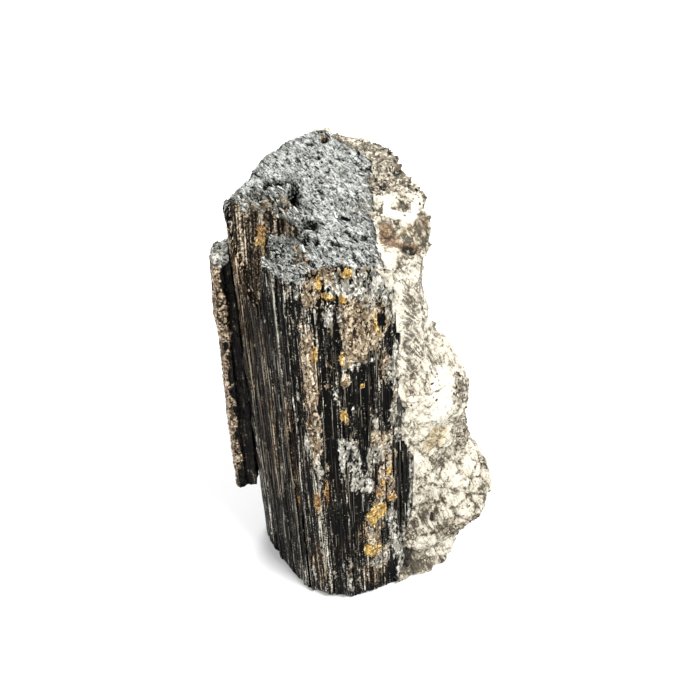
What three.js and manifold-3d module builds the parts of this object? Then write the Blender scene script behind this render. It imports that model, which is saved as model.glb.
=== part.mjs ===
// A hand specimen of black tourmaline (schorl): a stout striated prism with a sloping broken top, a slim
// crystal grown beside it, and the pale feldspar, quartz and mica matrix that wraps its right side.
// Millimetres, +Z up along the prism, the front towards -Y, standing on the broken base at z = 0.
import * as THREE from "three";
import { mergeVertices } from "three/addons/utils/BufferGeometryUtils.js";
import Module from "manifold-3d";

const wasm = await Module();
wasm.setup();
const { clamp, degToRad, lerp, radToDeg } = THREE.MathUtils;

// ---- Driving dimensions ------------------------------------------------------------------------

const CLEARANCE = 0.3; // seam kept between neighbouring solids
const TOP_CLEARANCE = 0.9; // the same seam measured upwards, over the steep right edge of the broken top
const UNCUT_TOP = 130; // height of the crystals before their broken tops are cut
const ABOVE_ALL = 140; // a height that is clear over them

const PRISM = {
  // Corners of the prism's section, anticlockwise from the front edge, about the prism's own axis.
  corners: [
    [1.5, -22],
    [9.5, -20.6],
    [15.8, -16.8],
    [20.2, -10],
    [19.2, 2],
    [12, 13.5],
    [3, 19.2],
    [-7, 19.4],
    [-15.5, 14.6],
    [-19.5, 6],
    [-18.1, -1.2],
    [-14.6, -9],
    [-6.5, -18.8],
  ],
  ribPitch: 1.5,
  ribDepth: 0.35,
};

const TOP = {
  edge: -17.3, // y where the broken top turns down into the front bevel
  edgeHeight: 100.9,
  backSlope: 0.27, // rise per mm towards the back
  bevelSlope: 1.8, // fall per mm in front of the edge
  bevelLeft: -3, // x where the bevel begins
  // Distance from the axis at which the top starts to fall away, and the fall per mm, on three sides.
  backLeft: { from: 16, fall: 1.6, towards: [-0.8, 0.6] },
  backCorner: { from: 15.8, fall: 0.5, towards: [-0.55, 0.84] },
  right: { from: 13.2, fall: 2.6, towards: [1, 0] },
  // The upper level's front rim on the left: a point on it, and its change of y per mm of x.
  rim: { x: -7.5, y: -3, skew: -0.59 },
  // The lower level in front of the rim: its height, a point on its left edge, and the way that edge faces.
  ledge: { height: 100.2, x: -10, y: -8.8, outward: [-0.935, 0.35] },
  ledgeFade: [-2, -6], // x over which the ledge deepens to its full step
  // The steep notch to the left of the ledge: its height at the rim, its fall per mm, and its start's width.
  notch: { height: 104.5, fall: 2, start: 1.2 },
  // A low crest at the back: where it starts, how fast it rises and how wide it is.
  crest: { x: 1, from: 8, rise: 0.15, width: 4 },
  roughness: 0.9,
  roughScale: 4.5,
  gridSize: 56,
  gridSteps: 36,
};

const BASE_CHIPS = {
  count: 9,
  size: 12,
  width: 17,
  tilt: 42, // degrees from level
  leastDepth: 0.4,
  mostDepth: 1.3,
};

const SIDE = {
  corners: [
    [-24.6, 2.2],
    [-23.4, -0.8],
    [-21.6, -0.6],
    [-21.2, 0.4],
    [-18.6, 0.3],
    [-18.6, 5],
    [-17.8, 9.6],
    [-21, 10.5],
    [-24.2, 8],
  ],
  ribPitch: 1.2,
  ribDepth: 0.25,
  bottom: 20.5,
  top: 92.8,
  topSlopes: [0.35, -0.15], // rise per mm along X and Y
  centre: [-21.5, 5],
  lean: 1.5, // degrees towards the prism
  roughness: 0.5,
  gridSize: 24,
  gridSteps: 16,
};

const MATRIX = {
  bottom: 0.7,
  top: 113,
  // Distance from the prism's axis to the matrix's right flank, at each height.
  flank: [
    [0, 29.5],
    [4, 30.5],
    [9, 36],
    [15, 40],
    [19.5, 41.8],
    [24, 37.6],
    [29, 34.6],
    [40, 36],
    [50, 33.4],
    [58, 32.6],
    [64, 29.6],
    [68, 24.4],
    [79, 23],
    [91, 21.8],
    [103, 23.2],
    [109, 25.6],
    [116, 23],
  ],
  // Angle about the axis of the matrix's front edge, at each height: 0 towards +X, -90 towards the front.
  frontEdge: [
    [0, -52],
    [7, -40],
    [13, -46],
    [20, -30],
    [40, -29],
    [54, -46],
    [68, -50],
    [80, -43],
    [96, -53],
    [116, -62],
  ],
  backEdge: 88,
  backWander: 4,
  frontShoulder: 40, // degrees over which it rises from the prism's face to its full thickness
  backShoulder: 50,
  buried: 6, // how far inside the prism its skin runs beyond its edges
  leastThickness: 0.6,
  topLift: 0.5, // how far its top stands above the crystal's broken top
  topFall: { from: 17, fall: 0.3 }, // distance from the axis where its top starts to fall, and how fast
  lumpScale: 8,
  lumpDepth: 1.8,
  grainScale: 3.2,
  grainDepth: 0.9,
  aroundSteps: 96,
  heightSteps: 34,
  gridSize: 90,
  gridSteps: 45,
};

// ---- Noise -------------------------------------------------------------------------------------

const smooth = (t) => t * t * (3 - 2 * t);

function lattice(i, j, k) {
  const s = Math.sin(i * 127.1 + j * 311.7 + k * 74.7) * 43758.5453;
  return (s - Math.floor(s)) * 2 - 1;
}

// Value noise from -1 to 1.
function noise(x, y, z) {
  const [i, j, k] = [x, y, z].map(Math.floor);
  const [u, v, w] = [smooth(x - i), smooth(y - j), smooth(z - k)];
  const along = (b, c) => lerp(lattice(i, b, c), lattice(i + 1, b, c), u);
  const across = (c) => lerp(along(j, c), along(j + 1, c), v);
  return lerp(across(k), across(k + 1), w);
}

// ---- Solids ------------------------------------------------------------------------------------

function solidOf(geometry) {
  const bare = geometry.clone();
  bare.deleteAttribute("normal");
  bare.deleteAttribute("uv");
  const merged = mergeVertices(bare, 1e-4);
  return new wasm.Manifold(
    new wasm.Mesh({
      numProp: 3,
      vertProperties: new Float32Array(merged.attributes.position.array),
      triVerts: new Uint32Array(merged.index.array),
    }),
  );
}

function geometryOf(solid) {
  const mesh = solid.getMesh();
  const geometry = new THREE.BufferGeometry();
  geometry.setAttribute("position", new THREE.BufferAttribute(mesh.vertProperties, 3));
  geometry.setIndex(new THREE.BufferAttribute(mesh.triVerts, 1));
  return geometry;
}

// A prism's section with its flat sides broken into narrow striation ribs.
function ribbedOutline({ corners, ribPitch, ribDepth }, seed) {
  const points = [];
  corners.forEach(([x, y], n) => {
    const from = new THREE.Vector2(x, y);
    const to = new THREE.Vector2(...corners[(n + 1) % corners.length]);
    const side = to.clone().sub(from);
    const outward = new THREE.Vector2(side.y, -side.x).normalize();
    const ribs = Math.max(2, Math.round(side.length() / ribPitch));
    for (let i = 0; i < ribs; i++) {
      const lift = i === 0 ? 0 : ribDepth * noise(points.length * 1.7, seed, 0);
      points.push(from.clone().addScaledVector(side, i / ribs).addScaledVector(outward, lift));
    }
  });
  return points;
}

// The outline moved outwards by a distance.
function grown(points, distance) {
  return points.map((point, n) => {
    const before = points.at(n - 1);
    const after = points[(n + 1) % points.length];
    const along = after.clone().sub(before).normalize();
    return new THREE.Vector2(along.y, -along.x).multiplyScalar(distance).add(point);
  });
}

function column(outline, bottom, top) {
  const options = { depth: top - bottom, bevelEnabled: false };
  const geometry = new THREE.ExtrudeGeometry(new THREE.Shape(outline), options);
  return solidOf(geometry.translate(0, 0, bottom));
}

// Everything above a rough surface, to cut a broken top with.
function above(heightAt, { gridSize, gridSteps }, centre = [0, 0]) {
  const geometry = new THREE.BoxGeometry(gridSize, gridSize, 1, gridSteps, gridSteps, 1);
  const position = geometry.attributes.position;
  for (let n = 0; n < position.count; n++) {
    const x = position.getX(n) + centre[0];
    const y = position.getY(n) + centre[1];
    position.setXYZ(n, x, y, position.getZ(n) < 0 ? heightAt(x, y) : ABOVE_ALL);
  }
  return solidOf(geometry);
}

// ---- The main crystal --------------------------------------------------------------------------

const fallBeyond = (distance, { from, fall }) => fall * Math.max(0, distance - from);
const along = ([directionX, directionY], x, y) => directionX * x + directionY * y;

// The plane that the crystal's broken top keeps to, with its roughness.
function brokenPlane(x, y) {
  const t = TOP;
  const plane = t.edgeHeight + t.backSlope * (y - t.edge);
  const { crest } = t;
  const ridge = crest.rise * Math.max(0, y - crest.from) * Math.exp(-(((x - crest.x) / crest.width) ** 2));
  const rough = t.roughness * noise(x / t.roughScale, y / t.roughScale, 7);
  const falls = [t.backLeft, t.backCorner].map((side) => fallBeyond(along(side.towards, x, y), side));
  return plane + ridge + rough - Math.max(...falls);
}

// The lower level of the top's front left, with a steep notch at its left edge.
function ledgeHeight(x, y) {
  const { ledge, notch, rim } = TOP;
  const pastLedge = along(ledge.outward, x - ledge.x, y - ledge.y);
  const beforeRim = rim.y + rim.skew * (x - rim.x) - y;
  const notchHeight = notch.height - notch.fall * beforeRim / Math.hypot(1, rim.skew);
  return lerp(ledge.height, notchHeight, smooth(clamp(pastLedge / notch.start, 0, 1)));
}

function topHeight(x, y) {
  const t = TOP;
  const level = brokenPlane(x, y);
  const bevel = x > t.bevelLeft ? t.bevelSlope * Math.max(0, t.edge - y) : 0;
  const inFront = clamp(t.rim.y + t.rim.skew * (x - t.rim.x) - y, 0, 1);
  const onLeft = clamp((x - t.ledgeFade[0]) / (t.ledgeFade[1] - t.ledgeFade[0]), 0, 1);
  const stepped = lerp(level, Math.min(level, ledgeHeight(x, y)), smooth(inFront) * smooth(onLeft));
  return stepped - bevel - fallBeyond(along(t.right.towards, x, y), t.right);
}

// Wedges broken off the rim of the base. They leave its middle flat.
function chipped(solid, outline) {
  const c = BASE_CHIPS;
  let left = solid;
  for (let n = 0; n < c.count; n++) {
    const rim = outline[Math.floor(((n + 0.5) / c.count) * outline.length)];
    const outward = Math.atan2(rim.y, rim.x);
    const depth = lerp(c.leastDepth, c.mostDepth, (noise(n * 3.1, 2, 5) + 1) / 2);
    const chip = new THREE.BoxGeometry(c.size, c.width, c.size);
    chip.translate(0, 0, -c.size / 2);
    chip.rotateY(degToRad(-c.tilt));
    chip.translate(-depth, 0, 0);
    chip.rotateZ(outward);
    chip.translate(rim.x, rim.y, 0);
    left = left.subtract(solidOf(chip));
  }
  return left;
}

function mainCrystal(outline) {
  const prism = column(outline, 0, UNCUT_TOP);
  return chipped(prism.subtract(above(topHeight, TOP)), outline);
}

// ---- The side crystal --------------------------------------------------------------------------

function sideCrystal(prismSides) {
  const s = SIDE;
  const [centreX, centreY] = s.centre;
  const middle = (s.bottom + s.top) / 2;
  const brokenTop = (x, y) =>
    s.top + along(s.topSlopes, x - centreX, y - centreY) + s.roughness * noise(x, y, 3);
  const blank = column(ribbedOutline(s, 11), s.bottom, UNCUT_TOP);
  const upright = blank.subtract(above(brokenTop, s, s.centre));
  const leaning = upright.translate([-centreX, 0, -middle]).rotate([0, s.lean, 0]);
  return leaning.translate([centreX, 0, middle]).subtract(prismSides);
}

// ---- The matrix --------------------------------------------------------------------------------

// Distance from the axis to the prism's faces, in the direction of an angle in radians.
function prismRadius(angle) {
  const ray = new THREE.Vector2(Math.cos(angle), Math.sin(angle));
  const { corners } = PRISM;
  let radius = 0;
  corners.forEach(([x, y], n) => {
    const from = new THREE.Vector2(x, y);
    const side = new THREE.Vector2(...corners[(n + 1) % corners.length]).sub(from);
    const crossing = ray.cross(side);
    const share = from.cross(ray) / crossing;
    if (share >= 0 && share <= 1) radius = Math.max(radius, from.cross(side) / crossing);
  });
  return radius;
}

// A value read from a list of [height, value] pairs.
function atHeight(pairs, z) {
  const next = Math.max(1, pairs.findIndex(([height]) => height >= z));
  const [[z0, v0], [z1, v1]] = [pairs[next - 1], pairs[next]];
  return lerp(v0, v1, clamp((z - z0) / (z1 - z0), 0, 1));
}

// Distance from the axis to the matrix's skin. Beyond its edges the skin dives inside the prism.
function matrixRadius(angle, z) {
  const m = MATRIX;
  const face = prismRadius(angle);
  const pastFront = radToDeg(angle) - atHeight(m.frontEdge, z);
  const pastBack = m.backEdge + m.backWander * noise(z / m.lumpScale, 0, 21) - radToDeg(angle);
  const inside = Math.min(pastFront, pastBack);
  if (inside < 0) return face - Math.min(-inside, m.buried);
  const rise = smooth(clamp(Math.min(pastFront / m.frontShoulder, pastBack / m.backShoulder), 0, 1));
  const thickness = atHeight(m.flank, z) - prismRadius(0);
  const [x, y] = [face * Math.cos(angle), face * Math.sin(angle)];
  const lumps = m.lumpDepth * noise(x / m.lumpScale, y / m.lumpScale, z / m.lumpScale);
  const grains = m.grainDepth * noise(x / m.grainScale, y / m.grainScale, z / m.grainScale);
  return face + rise * (thickness + lumps) + grains + m.leastThickness;
}

function matrixTop(x, y) {
  return brokenPlane(x, y) + MATRIX.topLift - fallBeyond(Math.hypot(x, y), MATRIX.topFall);
}

function matrixBody(envelope) {
  const m = MATRIX;
  const height = m.top - m.bottom;
  const geometry = new THREE.CylinderGeometry(1, 1, height, m.aroundSteps, m.heightSteps);
  geometry.rotateX(Math.PI / 2).translate(0, 0, m.bottom + height / 2);
  const position = geometry.attributes.position;
  for (let n = 0; n < position.count; n++) {
    const [x, y, z] = [position.getX(n), position.getY(n), position.getZ(n)];
    const isRim = Math.hypot(x, y) > 0.5; // not the middle of an end
    const angle = Math.atan2(y, x);
    const radius = isRim ? matrixRadius(angle, z) : 0;
    position.setXY(n, radius * Math.cos(angle), radius * Math.sin(angle));
  }
  const lump = solidOf(geometry).subtract(above(matrixTop, m));
  const pieces = lump.subtract(envelope).decompose();
  return pieces.sort((a, b) => b.volume() - a.volume())[0];
}

// ---- The specimen ------------------------------------------------------------------------------

const stone = {
  schorl: new THREE.MeshStandardMaterial({ color: 0x22211f, roughness: 0.4, metalness: 0 }),
  sideSchorl: new THREE.MeshStandardMaterial({ color: 0x3d352c, roughness: 0.5, metalness: 0 }),
  feldspar: new THREE.MeshStandardMaterial({ color: 0xd8d0bb, roughness: 0.8, metalness: 0 }),
};

const outline = ribbedOutline(PRISM, 4);
const sides = column(grown(outline, CLEARANCE), -5, UNCUT_TOP);
const clearTop = (x, y) => topHeight(x, y) + TOP_CLEARANCE;
const envelope = sides.subtract(above(clearTop, TOP));

const parts = [
  ["main_crystal", mainCrystal(outline), stone.schorl],
  ["side_crystal", sideCrystal(sides), stone.sideSchorl],
  ["matrix", matrixBody(envelope), stone.feldspar],
];

const specimen = new THREE.Group();
for (const [name, solid, material] of parts) {
  const mesh = new THREE.Mesh(geometryOf(solid), material);
  mesh.name = name;
  specimen.add(mesh);
}

// The origin is under the middle of the whole specimen, on the surface that it stands on.
const middle = new THREE.Box3().setFromObject(specimen, true).getCenter(new THREE.Vector3());
specimen.children.forEach((mesh) => mesh.position.set(-middle.x, -middle.y, 0));

export default specimen;
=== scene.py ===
"""The looks of a black tourmaline (schorl) specimen: striated prism, slim side crystal and pale matrix.

Shapes are worked out in millimetres about the foot of the prism and written to meshes in metres.
"""

import math

import bpy
import numpy as np
from mathutils import Matrix, Vector
from mathutils.bvhtree import BVHTree


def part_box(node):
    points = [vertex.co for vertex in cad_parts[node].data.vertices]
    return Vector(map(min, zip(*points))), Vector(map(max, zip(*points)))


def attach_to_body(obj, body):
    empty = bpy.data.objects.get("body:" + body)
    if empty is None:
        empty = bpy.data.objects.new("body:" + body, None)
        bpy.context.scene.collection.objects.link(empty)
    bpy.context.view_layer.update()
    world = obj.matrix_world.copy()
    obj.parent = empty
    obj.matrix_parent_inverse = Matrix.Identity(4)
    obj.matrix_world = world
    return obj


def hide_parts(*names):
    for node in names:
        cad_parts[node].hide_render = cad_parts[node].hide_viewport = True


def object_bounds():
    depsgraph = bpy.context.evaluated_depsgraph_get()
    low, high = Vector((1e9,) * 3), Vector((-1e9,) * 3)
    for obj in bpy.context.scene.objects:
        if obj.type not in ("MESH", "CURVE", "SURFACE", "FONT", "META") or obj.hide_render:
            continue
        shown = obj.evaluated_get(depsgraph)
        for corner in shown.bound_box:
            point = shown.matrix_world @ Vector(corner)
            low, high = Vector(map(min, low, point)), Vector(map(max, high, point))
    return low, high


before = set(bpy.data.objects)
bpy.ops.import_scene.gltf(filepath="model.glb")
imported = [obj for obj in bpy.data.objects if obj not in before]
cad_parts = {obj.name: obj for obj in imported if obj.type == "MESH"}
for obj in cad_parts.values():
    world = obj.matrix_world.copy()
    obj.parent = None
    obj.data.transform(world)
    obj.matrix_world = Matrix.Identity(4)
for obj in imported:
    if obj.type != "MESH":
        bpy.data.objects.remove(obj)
cad_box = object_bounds()

MM = 0.001
prism_low, prism_high = (np.array(corner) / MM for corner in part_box("main_crystal"))
FOOT = np.array([*(prism_low + prism_high)[:2] / 2, prism_low[2]])  # the places below are counted from here

# The faces of each rebuilt surface: their width in mm, and how many times taller they are.
PRISM_FACES = (0.28, 3.4)
SIDE_FACES = (0.3, 1.4)
MATRIX_FACES = (0.45, 1.0)

# ---- Noise ----

HASH_FACTORS = (374761393, 668265263, 1103515245)
MIX_FACTOR = 2246822519
WHOLE, FRACTION = 0xFFFFFFFF, 0xFFFFFF  # the bits kept while mixing, and those that make the number


def hashed(cells, seed):
    """A repeatable number from 0 to 1 for each row of whole numbers."""
    cells = np.asarray(cells, np.int64)
    mixed = np.full(len(cells), 7919 + 104729 * seed, np.int64)  # primes set the seeds apart
    for column in range(cells.shape[1]):
        mixed = (mixed ^ (cells[:, column] * HASH_FACTORS[column])) & WHOLE
        mixed = ((mixed ^ (mixed >> 15)) * MIX_FACTOR) & WHOLE
        mixed ^= mixed >> 13
    return (mixed & FRACTION) / FRACTION


def step(low, high, value):
    """0 below low, 1 above high, and smooth between."""
    share = np.clip((value - low) / (high - low), 0, 1)
    return share * share * (3 - 2 * share)


def noise(points, seed):
    """Value noise from -1 to 1 at points in cell units."""
    base = np.floor(points).astype(np.int64)
    share = step(0, 1, points - base)
    total = np.zeros(len(points))
    for corner in np.ndindex(2, 2, 2):
        weight = np.prod(np.where(corner, share, 1 - share), axis=1)
        total += weight * hashed(base + corner, seed)
    return total * 2 - 1


def fractal(points, octaves, seed, gain=0.55):
    """Layers of noise, each about half as large as the one before and gain times as strong."""
    total, size, most = 0, 1.0, 0
    for octave in range(octaves):
        total = total + size * noise(points * 2.03**octave, seed + octave)
        most += size
        size *= gain
    return total / most


def facets(points, seed):
    """A surface broken into flat facets, each tilted its own way.

    Gives its height, the way left to the next facet (0 at their edge), and a number from 0 to 1 for each.
    """
    base = np.floor(points).astype(np.int64)
    first = np.full(len(points), 9.0)  # farther than any facet's middle
    second = first.copy()
    home = base.copy()
    way = np.zeros_like(points)
    for near in np.ndindex(3, 3, 3):
        cell = base + np.array(near) - 1
        offset = points - cell - np.stack([hashed(cell, seed + k) for k in range(3)], axis=1)
        distance = np.sqrt((offset**2).sum(axis=1))
        closer = distance < first
        second = np.where(closer, first, np.minimum(second, distance))
        first = np.where(closer, distance, first)
        home[closer] = cell[closer]
        way[closer] = offset[closer]
    lean = np.stack([hashed(home, seed + 40 + k) for k in range(3)], axis=1) * 2 - 1
    return (lean * way).sum(axis=1), second - first, hashed(home, seed + 50)


# ---- Skins: CAD surfaces rebuilt from small even faces ----


def added(name, data):
    """A new object in the scene."""
    made = bpy.data.objects.new(name, data)
    bpy.context.scene.collection.objects.link(made)
    return made


class Skin:
    """A CAD node's surface as small quads that can be shaped. Millimetres from FOOT."""

    def __init__(self, node, width, stretch):
        """Faces come out this wide and stretch times as tall."""
        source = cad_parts[node].data.copy()
        source.transform(Matrix.Diagonal((1, 1, 1 / stretch, 1)))
        copy = added("skin_work", source)
        remesh = copy.modifiers.new("remesh", "REMESH")
        remesh.mode = "VOXEL"
        remesh.voxel_size = width * MM
        mesh = bpy.data.meshes.new_from_object(copy.evaluated_get(bpy.context.evaluated_depsgraph_get()))
        points = np.zeros(len(mesh.vertices) * 3)
        mesh.vertices.foreach_get("co", points)
        corners = np.zeros(len(mesh.loops), np.int32)
        mesh.loops.foreach_get("vertex_index", corners)
        bpy.data.objects.remove(copy)
        self.points = points.reshape(-1, 3) / MM * (1, 1, stretch) - FOOT
        self.quads = corners.reshape(-1, 4)
        self.refresh()

    def refresh(self):
        """Works out each point's normal from the faces round it."""
        a, b, c, d = (self.points[self.quads[:, k]] for k in range(4))
        across = np.cross(c - a, d - b)
        total = np.zeros_like(self.points)
        for k in range(4):
            np.add.at(total, self.quads[:, k], across)
        self.normals = total / np.maximum(np.linalg.norm(total, axis=1, keepdims=True), 1e-9)

    def made(self, name, material):
        return make_mesh(name, self.points, self.quads, material)


def make_mesh(name, points, faces, material):
    """A flat-shaded mesh object from points in millimetres from FOOT."""
    mesh = bpy.data.meshes.new(name)
    mesh.from_pydata(((np.asarray(points) + FOOT) * MM).tolist(), [], np.asarray(faces).tolist())
    mesh.update()
    mesh.polygons.foreach_set("use_smooth", [False] * len(mesh.polygons))
    mesh.materials.append(material)
    return added(name, mesh)


def attach(piece, attribute, *channels):
    """Stores a number or four numbers for every point, for the material to read."""
    values = np.stack(channels, axis=1).squeeze().astype(np.float32)
    kind, key = ("FLOAT", "value") if values.ndim == 1 else ("FLOAT_COLOR", "color")
    layer = piece.data.attributes.new(attribute, kind, "POINT")
    layer.data.foreach_set(key, values.ravel())


def tree_of(node, unit=1.0):
    """A CAD node's faces, to search by place, in metres or in another unit."""
    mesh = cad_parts[node].data
    corners = [vertex.co / unit for vertex in mesh.vertices]
    return BVHTree.FromPolygons(corners, [tuple(polygon.vertices) for polygon in mesh.polygons])


def distances_to(node, points):
    """How many mm each point lies from a CAD node's faces."""
    tree = tree_of(node)
    return np.array([tree.find_nearest(Vector((p + FOOT) * MM))[3] for p in points]) / MM


class Outline:
    """Distances round the main crystal, measured at mid height from the front, to the right positive."""

    ANGLES = np.linspace(-math.pi, math.pi, 721)
    CLEAR = 80  # mm from the axis, outside every side

    def __init__(self):
        start = Vector((*FOOT[:2], (prism_low[2] + prism_high[2]) / 2))
        tree = tree_of("main_crystal", MM)
        reach = []
        for angle in self.ANGLES:
            outward = Vector((math.sin(angle), -math.cos(angle), 0))
            reach.append((tree.ray_cast(start + outward * self.CLEAR, -outward)[0] - start).length)
        self.reach = np.array(reach)
        x, y = self.reach * np.sin(self.ANGLES), -self.reach * np.cos(self.ANGLES)
        along = np.concatenate([[0], np.cumsum(np.hypot(np.diff(x), np.diff(y)))])
        self.girth = along[-1]
        self.along = along - np.interp(0, self.ANGLES, along)

    def round(self, points):
        return np.interp(np.arctan2(points[:, 0], -points[:, 1]), self.ANGLES, self.along)

    def inside(self, points):
        """How far in from the crystal's side each point lies."""
        x, y = points[:, 0], points[:, 1]
        return np.interp(np.arctan2(x, -y), self.ANGLES, self.reach) - np.hypot(x, y)


class Strips:
    """Flat strips between striations: each runs up the crystal at its own level and is broken in places."""

    SHORTEST, LONGEST = 14, 80  # mm between a strip's breaks
    NARROWING = 2.5  # the power that makes narrow strips commoner

    def __init__(self, girth, narrowest, widest, seed):
        random = np.random.default_rng(seed)
        widths = []
        while sum(widths) < girth:
            widths.append(narrowest + (widest - narrowest) * random.random() ** self.NARROWING)
        self.edges = np.cumsum([0, *widths]) * girth / sum(widths) - girth / 2
        self.level = random.normal(0, 1, len(widths))
        self.tilt = random.normal(0, 1, len(widths))
        self.length = random.uniform(self.SHORTEST, self.LONGEST, len(widths))
        self.phase = random.uniform(0, self.LONGEST, len(widths))
        self.seed = seed

    def __call__(self, along, heights):
        """The level and tilt of each point's strip, and a number from 0 to 1 for its stretch."""
        strip = np.clip(np.searchsorted(self.edges, along, side="right") - 1, 0, len(self.level) - 1)
        start, end = self.edges[strip], self.edges[strip + 1]
        stretch = np.floor((heights + self.phase[strip]) / self.length[strip]).astype(np.int64)
        broken = hashed(np.stack([strip, stretch], axis=1), self.seed)
        return self.level[strip], self.tilt[strip] * (along - (start + end) / 2), broken


# ---- Marks on the prism ----

# Patches on the prism's unrolled side: mm round from the front, mm up, half width, half height, strength.
SIDE_MARKS = {
    "tan": [
        (9.5, 88.0, 7.0, 8.5, 0.9),
        (7.0, 81.0, 3.5, 3.0, 0.9),
        (-1.5, 97.0, 3.0, 2.5, 0.9),
        (-3.2, 86.0, 1.6, 4.5, 0.75),
        (-3.2, 79.5, 1.8, 5.0, 0.8),
        (-3.4, 71.5, 2.3, 4.2, 0.9),
        (4.7, 74.6, 1.5, 1.9, 1.5),
        (14.2, 75.0, 1.5, 6.0, 0.85),
        (16.8, 69.0, 1.2, 7.0, 0.6),
        (-3.2, 57.0, 1.9, 6.0, 0.65),
        (12.0, 51.0, 3.8, 5.5, 0.85),
        (13.6, 40.0, 3.2, 6.5, 0.9),
        (14.5, 27.0, 1.8, 6.0, 0.5),
        (3.0, 101.0, 6.0, 3.0, 0.75),
        (13.0, 102.5, 5.0, 3.0, 0.7),
        (6.0, 60.0, 12.0, 50.0, 0.23),
        (-3.2, 66.0, 2.2, 24.0, 0.62),
        (14.0, 40.0, 5.5, 40.0, 0.48),
        (11.5, 22.0, 4.0, 14.0, 0.7),
        (-50.0, 74.0, 4.0, 12.0, 0.5),
        (-57.0, 30.0, 5.0, 11.0, 0.55),
    ],
    "pale": [
        (3.4, 53.0, 1.6, 6.0, 1.0),
        (3.8, 43.0, 2.0, 6.5, 0.7),
        (6.6, 66.8, 2.6, 1.6, 0.75),
        (11.0, 50.0, 2.3, 5.0, 0.95),
        (11.2, 59.4, 0.9, 2.3, 1.2),
        (-5.4, 55.0, 0.9, 3.0, 1.3),
        (0.5, 67.0, 1.3, 1.0, 0.6),
        (-2.3, 48.5, 1.3, 4.0, 0.7),
        (-4.6, 97.8, 0.7, 1.5, 1.8),
        (-4.7, 91.0, 0.45, 6.0, 0.7),
        (14.6, 26.5, 1.9, 5.0, 0.95),
        (11.8, 13.0, 3.2, 3.5, 0.9),
        (16.0, 17.0, 1.6, 7.5, 0.85),
        (9.0, 78.4, 4.6, 1.0, 0.85),
        (3.5, 7.0, 1.4, 5.5, 0.55),
        (-5.8, 10.0, 2.6, 8.0, 0.5),
        (1.6, 91.0, 2.4, 2.4, 0.7),
        (11.0, 95.5, 4.4, 3.6, 0.95),
        (17.0, 74.5, 1.2, 4.0, 0.7),
        (-6.4, 70.0, 0.4, 3.5, 0.8),
        (-7.6, 67.0, 0.4, 3.0, 0.7),
        (9.0, 98.5, 8.0, 3.5, 0.8),
        (3.0, 92.0, 5.0, 4.0, 0.55),
        (7.0, 50.0, 11.0, 55.0, 0.24),
        (7.5, 46.0, 5.5, 13.0, 0.6),
        (15.5, 18.0, 4.0, 12.0, 0.6),
        (-61.5, 55.0, 3.0, 34.0, 0.6),
        (-46.0, 22.0, 3.0, 9.0, 0.5),
    ],
    "gold": [
        (10.6, 30.3, 2.7, 3.0, 2.2),
        (9.4, 17.8, 2.9, 2.0, 1.5),
        (3.9, 64.2, 0.9, 2.6, 1.3),
        (8.4, 71.7, 0.8, 0.9, 2.0),
        (-1.5, 82.0, 0.8, 1.9, 0.95),
        (4.0, 81.2, 0.9, 2.2, 0.9),
        (-4.0, 36.2, 0.8, 3.4, 1.4),
        (-1.3, 40.0, 0.5, 4.0, 1.3),
        (11.2, 39.0, 2.2, 3.6, 0.75),
        (15.2, 33.6, 1.6, 1.7, 1.1),
        (14.8, 43.0, 1.7, 2.2, 0.8),
        (-9.7, 33.4, 0.6, 1.8, 1.0),
        (0.7, 20.0, 0.6, 2.3, 0.9),
        (7.5, 100.6, 2.1, 1.2, 1.0),
        (0.4, 98.4, 1.0, 1.8, 0.95),
        (2.2, 96.0, 1.7, 1.1, 1.0),
        (5.5, 95.8, 0.9, 1.6, 0.95),
        (12.2, 101.0, 1.2, 0.6, 1.0),
        (12.2, 87.5, 0.5, 2.0, 1.1),
        (2.9, 40.8, 1.3, 1.5, 0.8),
    ],
    "brown": [
        (-10.6, 52.0, 2.4, 15.0, 0.8),
        (-25.0, 80.0, 8.0, 26.0, 0.75),
        (9.8, 9.0, 2.7, 5.0, 1.3),
        (-5.0, 13.0, 2.0, 9.0, 0.8),
        (0.7, 94.2, 1.2, 1.0, 1.3),
        (-19.5, 55.0, 4.0, 36.0, 0.75),
        (6.8, 24.9, 1.4, 4.5, 0.9),
        (-3.2, 76.0, 2.4, 12.0, 0.7),
        (-3.2, 60.0, 2.0, 8.0, 0.5),
        (-4.0, 36.2, 1.2, 4.5, 1.0),
        (-1.3, 40.0, 1.0, 5.0, 1.0),
        (-9.7, 33.4, 1.0, 3.0, 1.0),
        (0.7, 20.0, 1.0, 3.0, 0.9),
        (15.2, 33.6, 2.0, 2.2, 0.9),
        (11.0, 40.0, 2.6, 4.6, 0.8),
    ],
    "black": [
        (8.3, 71.5, 3.8, 5.2, 1.1),
        (1.0, 57.0, 1.6, 15.0, 1.0),
        (8.3, 56.5, 0.6, 10.5, 1.0),
        (13.2, 63.0, 2.6, 5.5, 0.9),
        (19.8, 35.6, 2.8, 19.0, 0.9),
        (3.4, 86.0, 2.2, 4.5, 0.7),
        (13.9, 88.5, 0.8, 3.8, 1.2),
        (15.4, 83.0, 0.9, 1.8, 1.4),
        (2.6, 27.0, 5.4, 10.0, 0.9),
        (8.0, 37.0, 3.0, 3.0, 0.6),
        (14.0, 6.0, 1.6, 3.6, 1.0),
        (7.4, 36.0, 2.0, 3.4, 0.7),
        (-6.6, 72.0, 1.1, 13.0, 0.6),
        (-7.5, 84.0, 2.0, 7.0, 0.5),
        (3.0, 94.5, 1.6, 0.9, 0.9),
        (-41.0, 56.0, 6.0, 60.0, 1.2),
        (-13.5, 60.0, 1.5, 40.0, 0.5),
    ],
}

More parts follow.
